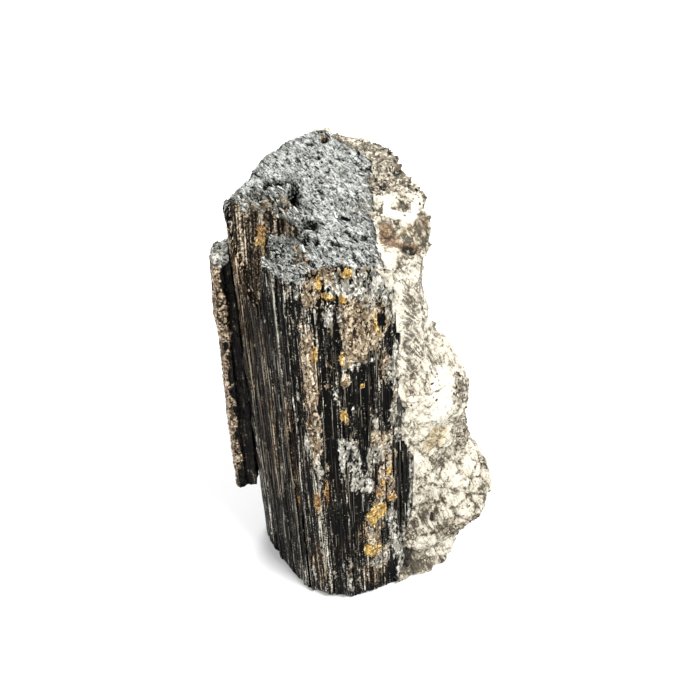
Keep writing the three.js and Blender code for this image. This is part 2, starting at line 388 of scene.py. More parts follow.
# Patches on the prism's broken top: x, y, half width, half depth, strength.
TOP_MARKS = {
    "tan": [(9.3, 17.0, 2.6, 1.6, 1.5), (-3.4, -11.5, 1.8, 1.7, 1.1), (-5.8, 1.2, 1.3, 1.2, 0.9)],
    "brown": [(-10.4, 0.2, 4.6, 2.6, 0.9), (2.7, 17.9, 1.0, 1.0, 0.8), (-12.0, 4.5, 2.6, 2.0, 0.5)],
    "gold": [(-11.4, -1.6, 1.1, 1.2, 1.6), (-11.0, -3.4, 0.5, 1.4, 1.6)],
    "pale": [(11.7, 6.6, 0.7, 0.9, 1.5), (7.5, 0.0, 4.6, 2.0, 0.5), (4.0, 8.0, 4.0, 2.4, 0.4)],
}

# Pits in the broken top: x, y, half width, half depth and how deep.
PITS = [
    (-4.4, 3.3, 1.3, 2.7, 2.6),
    (-1.2, -4.2, 2.1, 1.4, 1.6),
    (-2.4, -8.0, 2.6, 1.1, 1.5),
    (-8.6, 2.2, 1.5, 0.6, 1.0),
    (-8.0, 7.0, 1.2, 0.6, 0.8),
    (-10.4, 6.5, 0.7, 1.0, 0.9),
    (-13.0, 11.6, 1.6, 0.9, 1.4),
    (0.9, 13.1, 0.7, 0.6, 0.9),
    (2.7, 17.9, 0.9, 0.9, 1.0),
    (-0.3, 16.8, 1.2, 0.4, 0.6),
    (6.3, -2.8, 1.6, 0.5, 0.5),
    (11.1, 9.7, 2.2, 0.6, 0.9),
    (13.4, 5.0, 0.8, 1.5, 1.0),
    (3.8, -9.2, 1.2, 0.5, 0.7),
    (-7.0, -9.0, 1.6, 0.7, 0.9),
    (-5.0, -12.6, 1.4, 0.6, 0.8),
]


def faded(away):
    """1 well inside a patch and 0 outside it, for distances counted in its half sizes."""
    return 1 - step(0.5, 1.4, away)


def strongest(marks, across, up, wander):
    """The strongest of some flat patches at each point, with wavering edges."""
    total = np.zeros(len(across))
    for x, y, wide, tall, strength in marks:
        away = np.hypot((across + wander[0] - x) / wide, (up + wander[1] - y) / tall)
        total = np.maximum(total, strength * faded(away))
    return total


def strongest_near(marks, points):
    """The strongest of some rounded places at each point."""
    total = np.zeros(len(points))
    for centre, half, strength in marks:
        away = np.linalg.norm((points - centre) / half, axis=1)
        total = np.maximum(total, strength * faded(away))
    return total


# ---- Main crystal ----

STREAK = np.array([0.6, -0.8])  # the way the broken top's fine ridges run
STREAK_TURN = math.atan2(-STREAK[1], STREAK[0])  # turns them along x
SCALES, FINE_SCALES = (3.4, 1.5), (1.2, 0.6)  # mm along and across the ridges, of the top's facets
NOTCH_X, NOTCH_Y, NOTCH_UP = (-3, -5), (-13, -11), (80, 84)  # mm over which the notch's zone begins
STRIP_WIDTHS = (0.5, 3.2)  # of the prism's strips
UPPER_END = (84, 104)  # the heights over which the prism's sides grow uneven


def top_relief(points, inside):
    """Heights of the broken top in mm, and the painted shade of its hollows and pits, from 0 to 1."""
    x, y = points[:, 0], points[:, 1]
    along, across = x * STREAK[0] + y * STREAK[1], y * STREAK[0] - x * STREAK[1]
    flat = 0 * x
    bend = 0.8 * fractal(np.stack([along / 7, across / 5, flat], axis=1), 3, 5)
    places = np.stack([along / SCALES[0] + bend, across / SCALES[1] + bend, flat], axis=1)
    scales, scale_gap, shade = facets(places, 9)
    places = np.stack([along / FINE_SCALES[0] + bend, across / FINE_SCALES[1], flat], axis=1)
    fine, fine_gap, _ = facets(places, 13)
    broad = fractal(np.stack([x / 7, y / 7, flat], axis=1), 3, 15)
    front_left, front = step(1, -5, x) * step(12, 4, y), step(-4, -9, y)
    rough = 1 + 1.4 * front_left + 0.5 * front
    height = 1.0 * broad + rough * (0.5 * scales + 0.13 * fine)
    # Painted shade: darkness laid along the facets' edges, where the top's hollows lie.
    hollow_shade = (0.7 * rough - 0.3) * shade * np.exp(-scale_gap / 0.07) + 0.25 * np.exp(-fine_gap / 0.06)
    for pit_x, pit_y, wide, deep, depth in PITS:
        away = np.hypot((x - pit_x) / wide, (y - pit_y) / deep) + 0.5 * scales
        pit = 1 - step(0.4, 1.2, away)
        height -= 1.3 * depth * pit
        # Painted shade in the pits, which are also sunk.
        hollow_shade += 0.9 * pit
    calm_edge = 0.25 + 0.75 * step(0, 1.8, inside)
    return height * calm_edge, np.clip(hollow_shade, 0, 1)


def covered(amount, texture):
    """How much of a point is covered where a patch is as strong as amount and the texture breaks it up."""
    return step(0.15, 0.95, 1.6 * amount - 0.5 + texture)


def mark_prism(points, along, beside, top, riser):
    """How strongly each crust, stain and bare patch shows at each point, and where the top's colour lies."""
    wander = [0.5 * noise(points / 2.1, 60), 1.2 * noise(points / 2.3, 61)]
    columns = noise(points / (0.75, 0.75, 7), 62) + 0.6 * noise(points / (0.4, 0.4, 1.5), 63)
    blotches = fractal(points / (2.4, 2.4, 3.6), 4, 64, 0.8)
    upper = np.maximum(top, riser)
    amounts = {}
    for kind, places in SIDE_MARKS.items():
        amounts[kind] = strongest(places, along, points[:, 2], wander) * (1 - upper)
        amounts[kind] += strongest(TOP_MARKS.get(kind, []), points[:, 0], points[:, 1], wander) * upper
    rim = step(3.0, 0.4, beside + 0.8 * wander[0] + 1.5 * noise(points / 5, 93))
    amounts["pale"] += 0.8 * rim * (1 - 0.4 * top)
    for kind in ("tan", "pale", "gold"):
        amounts[kind] -= 0.55 * np.clip(amounts["black"], 0, 1.5)
    marks = {
        "tan": covered(amounts["tan"], 0.7 * columns + 1.2 * blotches),
        "pale": covered(amounts["pale"], 0.7 * columns - 1.2 * blotches),
        "gold": covered(amounts["gold"] - 0.1, 0.3 * columns + 0.8 * blotches),
        "brown": amounts["brown"] + 0.6 * np.clip(amounts["gold"], 0, 1),
        "black": amounts["black"],
    }
    for kind in ("tan", "pale"):
        marks[kind] *= 1 - marks["gold"]
    return marks, step(0.35, 0.65, top + 0.35 * columns + 0.35 * blotches)


def side_relief(points, along, girth, beside, marks, riser):
    """How far the prism's sides stand out in mm, and each strip's painted shade, lighter where proud and
    darker where sunk.
    """
    up = points[:, 2]
    level, tilt, broken = Strips(girth, *STRIP_WIDTHS, 11)(along, up)
    missing = step(0.8, 1.0, broken)
    ribs = noise(points / (0.8, 0.8, 30), 3) + 0.5 * noise(points / (0.4, 0.4, 20), 4)
    broad = fractal(points / (8, 8, 40), 2, 2)
    grainy = fractal(points / (0.6, 0.6, 0.9), 2, 21)
    crust = np.clip(marks["tan"] + marks["pale"] + marks["gold"], 0, 1)
    lift = 0.13 * level + 0.13 * tilt - 0.5 * missing + 0.17 * ribs + 0.25 * broad - 0.1
    lift += crust * (0.22 + 0.34 * grainy) - 0.22 * np.clip(marks["black"], 0, 1)
    lift += 0.8 * step(*UPPER_END, up) * fractal(points / 3.5, 3, 90)
    steps = 0.9 * noise(points / (1.3, 60, 60), 91) + 0.3 * noise(points / (0.5, 60, 30), 92)
    lift += riser * (steps - lift)
    lift += step(0.9, 0.4, beside) * (0.1 - lift)
    # Painted shade: proud strips lighter, sunk and broken-away stretches darker in colour.
    return lift, np.clip(0.5 + 0.22 * level - 0.4 * missing, 0, 1)


def shape_prism(skin, outline):
    """Gives the prism its strips, ribs, crusts and broken top, and returns what the material needs."""
    points, normals = skin.points, skin.normals
    x, y, up = points.T
    along, inside = outline.round(points), outline.inside(points)
    beside = distances_to("matrix", points)
    least = 0.5 - 0.3 * step(0, 5, y)
    top = step(least, least + 0.3, normals[:, 2])
    wall = step(0.95, 0.7, np.abs(normals[:, 2]))
    notch = step(*NOTCH_X, x) * step(*NOTCH_Y, y) * step(*NOTCH_UP, up)
    riser = step(0.8, 1.8, inside) * notch * (1 - top)
    marks, top_color = mark_prism(points, along, beside, top, riser)
    lift, painted_strip_shade = side_relief(points, along, outline.girth, beside, marks, riser)
    height, hollow_shade = top_relief(points, inside)
    outward = normals * (1, 1, 0)
    outward /= np.maximum(np.linalg.norm(outward, axis=1, keepdims=True), 0.2)
    skin.points = points + outward * (wall * lift)[:, None]
    skin.points[:, 2] = np.maximum(skin.points[:, 2] + top * height, 0)
    skin.refresh()
    return marks, top_color, painted_strip_shade, hollow_shade * top, riser


# ---- Side crystal ----

SIDE_RADIUS = 3  # mm, near enough to unroll it
BULGE_HEIGHT = 78  # mm up, the middle of its swollen stretch


def shape_side(skin):
    """A slim lumpy prism, crusted with mica on its outer side and black towards the main crystal."""
    points, normals = skin.points, skin.normals
    middle = points.mean(axis=0)
    x, y, up = points[:, 0] - middle[0], points[:, 1] - middle[1], points[:, 2]
    around = np.arctan2(y, x) * SIDE_RADIUS
    level, _, broken = Strips(2 * math.pi * SIDE_RADIUS, 0.4, 1.6, 12)(around, up)
    blotches = fractal(points / (1.8, 1.8, 3.0), 4, 31)
    chips, _, _ = facets(points / (1.0, 1.0, 1.5), 33)
    outer = 0.05 + 0.45 * step(50, 90, up) - 0.9 * step(32, 24, up) - x / 2.6
    bulge = np.exp(-(((up - BULGE_HEIGHT) / 4.5) ** 2))
    mica = step(0.3, 0.7, outer + 0.5 * bulge + 0.9 * blotches)
    cap = step(90, 92, up + 1.5 * blotches)
    lift = 0.1 * level + 0.25 * blotches + 0.2 * chips + 0.5 * bulge + 0.2 * mica - 0.2
    lift -= 0.3 * step(0.7, 1, broken)
    skin.points = points + normals * lift[:, None]
    skin.refresh()
    return mica, cap


# ---- Matrix ----

# Places on the matrix: centre (x, y, z), half sizes and strength.
MATRIX_MARKS = {
    "mica": [
        ((17.5, 6.7, 106.9), (3.6, 5.5, 4), 0.8),
        ((13.0, 14.0, 109.0), (6.0, 5.0, 4), 0.65),
        ((20.0, 9.0, 104.0), (5.0, 7.0, 5), 0.55),
        ((18.5, 11.5, 107.5), (2.5, 2.0, 3), 1.0),
        ((10.0, 20.5, 107.0), (8.0, 4.5, 6), 1.0),
        ((13.4, 5.2, 107.5), (1.9, 3.8, 3), 1.0),
        # This one is partly painted shade: it darkens the upper lobe, which faces the light.
        ((19.0, 0.0, 103.0), (2.5, 2.5, 3), 0.4),
        ((31.0, -7.5, 58.9), (2.2, 3.5, 4.5), 0.9),
        ((33.0, 3.2, 38.0), (3.0, 6.0, 10.0), 0.9),
        ((24.8, -12.2, 64.0), (1.4, 3.0, 3.5), 0.5),
        ((32.4, -9.9, 12.1), (7.0, 4.0, 4.0), 0.7),
        ((23.5, -8.0, 92.0), (3.0, 4.0, 8.0), 0.4),
    ],
    "white": [
        ((14.8, -0.8, 105.5), (1.3, 2.6, 3), 0.9),
        ((18.6, -2.8, 104.3), (3.4, 1.6, 3), 1.0),
        ((21.1, -0.4, 104.2), (1.6, 1.8, 3), 0.9),
        ((14.1, -16.6, 90.5), (1.4, 3.0, 6.0), 1.0),
        ((26.5, -11.0, 61.0), (3.4, 5.0, 11.0), 0.75),
        ((20.0, -12.0, 80.0), (3.0, 4.0, 6.0), 0.4),
    ],
    "brown": [
        ((14.7, -7.8, 102.8), (1.8, 3.8, 3), 1.2),
        ((15.8, -9.6, 101.8), (2.0, 1.6, 3), 0.8),
        ((19.1, -10.3, 101.2), (2.8, 2.4, 2.4), 1.3),
        ((18.6, 12.0, 107.8), (1.2, 1.4, 2), 1.2),
        ((22.0, -4.0, 102.0), (2.5, 2.5, 4), 0.5),
    ],
    # Pits, sunk into the rock and painted near black: painted shade.
    "dark": [
        ((19.1, -10.3, 101.2), (1.6, 1.6, 1.3), 1.5),
        ((17.4, -13.3, 8.1), (1.8, 2.5, 3.8), 1.8),
        ((24.4, -10.1, 17.6), (1.2, 2.0, 1.0), 1.0),
        ((16.4, -14.6, 60.0), (1.1, 2.5, 5.0), 1.1),
        ((14.8, 4.8, 107.4), (1.0, 1.4, 2), 0.8),
        ((17.6, 9.6, 107.6), (0.9, 1.6, 2), 0.9),
        ((33.5, -6.0, 60.0), (0.9, 2.0, 3.0), 0.9),
    ],
    "yellow": [
        ((25.2, -5.5, 41.6), (3.5, 4.0, 5.0), 1.0),
        ((22.0, -13.5, 50.0), (3.0, 3.0, 6.0), 0.5),
        ((19.5, -6.0, 101.0), (5.0, 2.0, 3.0), 0.5),
        ((29.0, -8.0, 30.0), (4.0, 4.0, 6.0), 0.4),
    ],
    "shade": [
        ((13.2, -2.5, 105.0), (1.4, 3.6, 3.0), 1.1),
        ((19.5, -4.5, 103.0), (6.0, 6.5, 4.0), 1.3),
        ((14.0, 17.0, 108.0), (12.0, 8.0, 6.0), 1.0),
        ((21.0, -10.0, 82.0), (5.0, 6.0, 12.0), 1.1),
        ((22.5, -12.5, 11.0), (8.0, 6.0, 10.0), 1.2),
        ((37.0, -3.0, 17.0), (4.0, 6.0, 4.0), 0.7),
        ((18.5, -13.5, 4.5), (7.0, 6.0, 7.0), 2.2),
        ((32.0, -4.0, 48.0), (3.0, 7.0, 12.0), 0.6),
    ],
    "sheets": [
        ((20.0, -9.0, 84.0), (10.0, 12.0, 17.0), 1.0),
        ((30.0, -3.0, 66.0), (6.0, 8.0, 8.0), 0.9),
        ((14.0, 20.0, 80.0), (16.0, 10.0, 26.0), 0.7),
    ],
}

LAYER_TURN = np.array([[0.5, 0.1, 0.9], [0.2, 0.15, -0.3], [0.75, 0.1, -0.4]])  # tilts and scales the layers
BLOCK, STONE, CRUMB = 5.0, 2.1, 0.95  # mm, the rock's facets
LIP_UP = (94, 97)  # the heights over which the rock's lip over the crystal's top begins
LIP_REACH = 2.4  # mm, the most that the lip reaches over


def shape_matrix(skin):
    """Breaks the rock into blocks and grains, and pushes its hidden side into the crystal."""
    points, normals = skin.points, skin.normals
    distance = distances_to("main_crystal", points)
    inner = 1 - step(0.4, 0.9, distance)
    blocks, block_gap, tone = facets(points / BLOCK, 50)
    stones, stone_gap, _ = facets(points / STONE, 54)
    crumbs, _, _ = facets(points / CRUMB, 58)
    layers = noise(points @ LAYER_TURN, 62)
    seams = 0.5 * np.exp(-block_gap / 0.06) + 0.2 * np.exp(-stone_gap / 0.08)
    swell = fractal(points / 9.0, 2, 66)
    wander = np.stack([noise(points / 2, 70 + k) for k in range(3)], axis=1) * 0.8
    marks = {kind: strongest_near(places, points + wander) for kind, places in MATRIX_MARKS.items()}
    plain = 1 - 0.7 * np.clip(marks["sheets"], 0, 1)
    lift = plain * (0.9 * blocks + 0.22 * stones - seams) + 0.6 * swell + 0.06 * crumbs + 0.2 * layers - 0.1
    lift -= 1.2 * np.clip(marks["dark"], 0, 1)
    lift *= 1 - 0.6 * np.clip(marks["white"], 0, 1)
    lift = lift * (1 - inner) + 0.55 * inner
    lip = step(1.6, 0.5, distance) * step(0.1, 0.5, normals[:, 2]) * step(*LIP_UP, points[:, 2])
    ragged = np.clip(0.2 + noise(points / 2.6, 84) + 0.5 * noise(points / 1.1, 85), 0, 1)
    reach = LIP_REACH * lip * ragged
    skin.points = points + normals * lift[:, None] + reach[:, None] * (-1, 0, 0.3)
    skin.refresh()
    return marks, tone - marks["shade"], np.exp(-block_gap / 0.05) * (1 - inner) * plain


# ---- Small pieces ----

BOX_CORNERS = np.array(list(np.ndindex(2, 2, 2))) * 2.0 - 1
BOX_FACES = np.array([(0, 1, 3, 2), (4, 6, 7, 5), (0, 4, 5, 1), (2, 3, 7, 6), (0, 2, 6, 4), (1, 5, 7, 3)])
SUNK = 0.4  # how far a grain's middle lies under the skin, in its half thicknesses
STRAY = 0.3  # mm, the width of the range over which a grain strays from its point on the skin


def grain_axes(random, out, lie):
    """Three directions for each grain: along its length, across it and through it."""
    *way, spread = lie
    jitter = spread * random.normal(0, 1, (len(out), 2, 3))
    length = np.array(way) + jitter[:, 0]
    laid = min(1, 10 * spread)  # plumb ones stay upright where the skin leans
    length -= laid * out * (out * length).sum(axis=1, keepdims=True)
    length /= np.linalg.norm(length, axis=1, keepdims=True)
    width = np.cross(out + jitter[:, 1], length)
    width /= np.linalg.norm(width, axis=1, keepdims=True)
    return np.stack([length, width, np.cross(length, width)], axis=1)


def grain_colors(random, palette, count):
    """A colour for each grain, from a palette of colours and how often each comes."""
    colors = np.array([tint(*color) for color, _ in palette])
    share = np.array([often for _, often in palette])
    picked = colors[random.choice(len(palette), count, p=share / share.sum())]
    picked[:, :3] *= random.uniform(0.7, 1.15, (count, 1))
    return picked


def scatter(name, skin, weight, count, size, shape, lie, palette, seed, material):
    """Angular grains stuck on a skin where weight is high.

    Size is the least and most mm across, shape their length, width and thickness for their size, and lie the
    way their length runs and how far they stray from it.
    """
    random = np.random.default_rng(seed)
    chosen = random.choice(len(weight), count, p=weight / weight.sum())
    shapes = BOX_CORNERS * random.uniform(0.55, 1.0, (count, 8, 3))
    small, large = size
    reach = small + (large - small) * random.random((count, 1)) ** 2
    lengths = reach * random.uniform(0.6, 1.0, (count, 3)) / 2 * shape
    out = skin.normals[chosen]
    axes = grain_axes(random, out, lie)
    centres = skin.points[chosen] - SUNK * out * lengths[:, 2:] + (random.random((count, 3)) - 0.5) * STRAY
    points = centres[:, None] + (shapes * lengths[:, None]) @ axes
    points[..., 2] = np.maximum(points[..., 2], 0)
    faces = (BOX_FACES + len(BOX_CORNERS) * np.arange(count)[:, None, None]).reshape(-1, 4)
    piece = make_mesh(name, points.reshape(-1, 3), faces, material)
    attach(piece, "tone", np.repeat(grain_colors(random, palette, count), len(BOX_CORNERS), axis=0))
    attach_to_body(piece, "root")


# ---- Materials ----


def tint(red, green, blue):
    """A colour from screen values of 0 to 255."""
    screen = np.array([red, green, blue]) / 255
    linear = np.where(screen <= 0.04045, screen / 12.92, ((screen + 0.055) / 1.055) ** 2.4)
    return (*linear.tolist(), 1.0)


class Shader:
    """One material's node tree."""

    def __init__(self, name):
        self.material = bpy.data.materials.new(name)
        self.material.use_nodes = True
        self.tree = self.material.node_tree
        self.surface = self.tree.nodes["Principled BSDF"]

    def node(self, kind, inputs, **settings):
        made = self.tree.nodes.new("ShaderNode" + kind)
        for key, value in settings.items():
            setattr(made, key, value)
        for key, value in inputs.items():
            self.feed(made.inputs[key], value)
        return made

    def feed(self, socket, value):
        if isinstance(value, bpy.types.NodeSocket):
            self.tree.links.new(value, socket)
        else:
            socket.default_value = value

    def attribute(self, name, output="Fac"):
        return self.node("Attribute", {}, attribute_name=name).outputs[output]

    def channels(self, name):
        """The four numbers of a stored colour."""
        stored = self.node("Attribute", {}, attribute_name=name)
        split = self.node("SeparateColor", {0: stored.outputs["Color"]})
        return [*split.outputs, stored.outputs["Alpha"]]

    def divided(self, coordinates, sizes):
        factors = [1 / MM / size for size in (sizes * 3)[:3]]
        return self.node("VectorMath", {0: coordinates, 1: factors}, operation="MULTIPLY").outputs[0]

    def place(self, *sizes):
        """Object coordinates divided by a size in mm, or by one size for each axis."""
        return self.divided(self.node("TexCoord", {}).outputs["Object"], sizes)

    def turned(self, angle, *sizes, axis="Z_AXIS"):
        """Like place, but first turned about an axis."""
        coordinates = self.node("TexCoord", {}).outputs["Object"]
        turned = self.node("VectorRotate", {"Vector": coordinates, "Angle": angle}, rotation_type=axis)
        return self.divided(turned.outputs[0], sizes)

    def math(self, operation, a, b=0.0):
        return self.node("Math", {0: a, 1: b}, operation=operation).outputs[0]

    def total(self, *terms):
        """The sum of numbers, sockets and (socket, factor) pairs."""
        result = 0.0
        for term in terms:
            value = self.math("MULTIPLY", *term) if isinstance(term, tuple) else term
            result = self.math("ADD", value, result)
        return result

    def noise(self, vector, detail, roughness=0.6):
        inputs = {"Vector": vector, "Scale": 1.0, "Detail": detail, "Roughness": roughness}
        return self.node("TexNoise", inputs).outputs[0]

    def grains(self, vector):
        """A random number for each cell."""
        colors = self.node("TexVoronoi", {"Vector": vector, "Scale": 1.0}).outputs["Color"]
        return self.node("SeparateColor", {0: colors}).outputs[0]

    def band(self, value, low, high):
        """0 below low and 1 above high, or the other way round if low is above high."""
        inputs = {0: value, 1: min(low, high), 2: max(low, high), 3: 0.0, 4: 1.0}
        if low > high:
            inputs.update({3: 1.0, 4: 0.0})
        return self.node("MapRange", inputs, interpolation_type="SMOOTHSTEP").outputs[0]

    def mix(self, share, a, b, blend="MIX"):
        made = self.node("Mix", {}, data_type="RGBA", blend_type=blend)
        for socket, value in zip((made.inputs[0], made.inputs[6], made.inputs[7]), (share, a, b)):
            self.feed(socket, value)
        return made.outputs[2]

    def ramp(self, value, *stops):
        """Colours along a number: each stop is a position and a colour on the screen."""
        made = self.node("ValToRGB", {0: value})
        elements = made.color_ramp.elements
        while len(elements) < len(stops):
            elements.new(0.5)
        for element, (position, *color) in zip(elements, stops):
            element.position = position
            element.color = tint(*color)
        return made.outputs[0]

    def bump(self, height, strength, distance, after=None):
        made = self.node("Bump", {"Height": height, "Strength": strength, "Distance": distance * MM})
        if after is not None:
            self.feed(made.inputs["Normal"], after)
        return made.outputs[0]

    def finish(self, color, roughness, normal, specular):
        self.feed(self.surface.inputs["Base Color"], color)
        self.feed(self.surface.inputs["Roughness"], roughness)
        self.feed(self.surface.inputs["Normal"], normal)
        self.surface.inputs["Specular IOR Level"].default_value = specular
        return self.material


# The colours are of the screen, each after its place along the number that picks it.


def striated_color(s, tone_and_glint, brown, blotches):
    """The glassy black sides: light lines that are painted glints, and brown stain where brown is high."""
    cold = s.ramp(
        tone_and_glint,
        (0.3, 2, 2, 2),
        (0.42, 10, 9, 8),
        (0.53, 36, 33, 29),
        (0.66, 88, 83, 74),
        (0.8, 146, 141, 128),
        (0.95, 204, 200, 186),
    )
    warm = s.ramp(
        tone_and_glint,
        (0.22, 4, 3, 2),
        (0.4, 36, 27, 19),
        (0.53, 82, 66, 50),
        (0.68, 140, 120, 95),
        (0.9, 202, 186, 161),
    )
    return s.mix(s.band(s.total(brown, (blotches, 1.2)), 0.75, 1.15), cold, warm)


def riser_color(s, specks, blotches):
    """The notch's steep wall, with broad and fine upright ribs."""
    fine, broad = s.noise(s.place(0.32, 60, 12), 2), s.noise(s.place(1.1, 60, 30), 2)
    return s.ramp(
        s.total((fine, 1.4), (broad, 1.2), (specks, 1.6), (blotches, 0.9), -2.16),
        (0.2, 8, 7, 5),
        (0.4, 42, 34, 26),
        (0.55, 88, 77, 63),
        (0.7, 140, 128, 110),
        (0.9, 196, 186, 167),
    )


def crust_colors(s, grains, blotches, brown):
    """The tan, pale and gold crusts. Gold turns to rust where brown is high."""
    mottle = s.total((grains, 0.85), (blotches, 1.7), -0.8)
    tan = s.ramp(
        mottle,
        (0.0, 28, 22, 16),
        (0.2, 82, 68, 52),
        (0.5, 138, 122, 100),
        (0.8, 188, 174, 150),
        (1.0, 226, 216, 196),
    )
    pale = s.ramp(
        mottle,
        (0.0, 30, 29, 26),
        (0.2, 84, 82, 75),
        (0.5, 140, 137, 127),
        (0.8, 184, 181, 170),
        (1.0, 222, 219, 209),
    )
    gold = s.ramp(grains, (0.0, 104, 76, 38), (0.3, 160, 128, 70), (0.7, 202, 172, 104), (1.0, 228, 208, 160))
    rust = s.ramp(grains, (0.0, 60, 40, 26), (0.4, 118, 84, 56), (0.8, 164, 126, 90), (1.0, 204, 176, 144))
    return tan, pale, s.mix(s.band(brown, 0.85, 1.2), gold, rust)


def top_glitter(s, hollow_shade):
    """How light each point of the broken top is, as painted glitter for light off its small black facets:
    sugary, clumped and scratched along its ridges.
    """
    sugar = s.grains(s.place(0.42))
    clumps = s.noise(s.turned(STREAK_TURN, 2.6, 0.9, 1.5), 4, 0.65)
    scratches = s.noise(s.turned(STREAK_TURN, 1.8, 0.26, 0.8), 2)
    powder = s.noise(s.place(0.45), 3, 0.7)
    return s.total((sugar, 0.25), (clumps, 1.1), (scratches, 0.9), (powder, 1.0), (hollow_shade, -0.6), -1.08)


# The broken top's grey is painted glitter, light off its small black facets; the rusty tones are real stain.
def top_color(s, painted_glitter, brown, blotches):
    grey = s.ramp(
        painted_glitter,
        (0.15, 12, 12, 11),
        (0.3, 62, 63, 60),
        (0.42, 132, 134, 130),
        (0.56, 174, 176, 172),
        (0.75, 210, 212, 208),
        (0.95, 240, 241, 238),
    )
    rusty = s.ramp(
        painted_glitter,
        (0.15, 22, 17, 12),
        (0.35, 84, 72, 57),
        (0.6, 142, 127, 105),
        (0.88, 204, 193, 173),
    )
    return s.mix(s.band(s.total(brown, (blotches, 1.2)), 0.85, 1.2), grey, rusty)


def schorl_material():
    """The main crystal: striated sides, broken top, notch wall and crusts."""
    s = Shader("schorl")
    tan, pale, gold, brown = s.channels("marks")
    black, top, painted_strip_shade, hollow_shade = s.channels("zones")

    columns = s.noise(s.place(1.2, 1.2, 36), 2)
    lines = s.noise(s.place(0.42, 0.42, 24), 2)
    hairs = s.noise(s.place(0.28, 0.28, 4), 1)
    blotches = s.noise(s.place(2.2, 2.2, 4.5), 4, 0.65)
    specks = s.noise(s.place(0.5), 2, 0.7)
    grains = s.grains(s.place(0.45, 0.45, 0.75))

    stripes = s.total((columns, 1.2), (lines, 1.9), (hairs, 1.5), (specks, 1.6))
    # Painted glints: the light end of this mix stands in for light off the striations.
    tone_and_glint = s.total(stripes, (painted_strip_shade, 0.5), (black, -0.18), -3.03)
    color = striated_color(s, tone_and_glint, brown, blotches)
    color = s.mix(s.band(s.attribute("riser"), 0.3, 0.6), color, riser_color(s, specks, blotches))

    def cover(amount):
        return s.band(s.total(amount, (specks, 1.1), (grains, 0.2)), 0.85, 1.2)

    tan_share, pale_share, gold_share = cover(tan), cover(pale), cover(gold)
    tan_color, pale_color, gold_color = crust_colors(s, grains, blotches, brown)
    color = s.mix(tan_share, color, tan_color)
    color = s.mix(pale_share, color, pale_color)

    # The broken top's grey: painted glitter, with painted shade in its hollows.
    painted_glitter = top_glitter(s, hollow_shade)
    grey = top_color(s, painted_glitter, brown, blotches)
    grey = s.mix(tan_share, grey, tan_color)
    grey = s.mix(s.math("MULTIPLY", pale_share, 0.7), grey, pale_color)
    color = s.mix(top, color, grey)
    color = s.mix(gold_share, color, gold_color)

    crusted = top
    for share in (tan_share, pale_share, gold_share):
        crusted = s.math("MAXIMUM", crusted, share)
    rough = s.total(0.32, (crusted, 0.4), (hairs, 0.15))
    relief = s.total((lines, 0.5), (hairs, 0.4), (s.math("MULTIPLY", grains, crusted), 0.6))
    normal = s.bump(relief, 0.8, 0.3)
    normal = s.bump(s.math("MULTIPLY", painted_glitter, top), 0.9, 0.5, normal)
    return s.finish(color, rough, normal, 0.03)


def side_material():
    """The side crystal: black, with brown and silver mica, and grey painted glitter on its broken top."""
    s = Shader("side_schorl")
    mica, cap, _, _ = s.channels("zones")
    lines = s.noise(s.place(0.5, 0.5, 9), 3)
    blotches = s.noise(s.place(1.4, 1.4, 2.4), 4, 0.65)
    specks = s.noise(s.place(0.5), 2, 0.7)
    grains = s.grains(s.place(0.5))
    # Painted glints: the light lines stand in for light off the side crystal's striations.
    tone_and_glint = s.total((lines, 1.4), (blotches, 1.0), (specks, 0.8), -1.1)
    base = s.ramp(tone_and_glint, (0.4, 3, 2, 2), (0.6, 16, 13, 10), (0.75, 60, 53, 44), (0.9, 130, 124, 112))
    sparkle = s.total((grains, 1.0), (blotches, 1.6), (specks, 1.0), -1.33)
    micas = s.ramp(sparkle, (0.05, 10, 8, 6), (0.3, 58, 44, 32), (0.6, 126, 106, 84), (0.95, 210, 192, 166))
    # Painted glitter: the broken top's grey stands in for light off its small black facets.
    greys = s.ramp(grains, (0.0, 36, 35, 32), (0.4, 110, 110, 104), (0.95, 206, 205, 196))
    color = s.mix(s.band(s.total(mica, (specks, 0.7)), 0.7, 1.0), base, micas)
    color = s.mix(s.band(s.total(cap, (specks, 0.5)), 0.6, 0.9), color, greys)
    normal = s.bump(s.total(blotches, (grains, 0.5), (lines, 0.5)), 0.7, 0.3)
    return s.finish(color, 0.5, normal, 0.08)


SHEET_TURN = math.radians(-62)  # the rock's sheets dip to the right


def rock_body(s, clouds, blotches, dust, grains):
    """How light the feldspar is at each point, with its sheets, seams, cracks and joints, and painted shade
    from the shade marks in tone.
    """
    _, tone, cracks, sheeted = s.channels("zones")
    crystals = s.grains(s.place(1.4))
    wobble = s.node("VectorMath", {0: s.place(1.3), 1: s.noise(s.place(2.0), 2)}, operation="ADD").outputs[0]
    cells = s.node("TexVoronoi", {"Vector": wobble, "Scale": 1.0}, feature="DISTANCE_TO_EDGE")
    near_edge = s.band(cells.outputs["Distance"], 0.09, 0.0)
    joints = s.math("MULTIPLY", near_edge, s.band(s.noise(s.place(3.0), 2), 0.4, 0.65))
    sheets = s.noise(s.turned(SHEET_TURN, 6.0, 6.0, 0.5, axis="Y_AXIS"), 3, 0.65)
    fine_sheets = s.total(s.noise(s.turned(SHEET_TURN, 5.0, 5.0, 0.3, axis="Y_AXIS"), 2, 0.6), -0.52)
    seams = s.band(s.math("ABSOLUTE", s.total(s.noise(s.place(3.4), 3, 0.6), -0.5)), 0.05, 0.0)
    light = s.total((clouds, 1.0), (blotches, 0.8), (dust, 0.4), (grains, 0.08), (crystals, 0.08))
    layered = s.total((sheets, 0.9), (s.math("MULTIPLY", fine_sheets, sheeted), 1.3))
    broken = s.total((seams, -0.25), (cracks, -0.35), (joints, -0.25))
    return s.total(light, layered, broken, (tone, 0.15), -1.15)


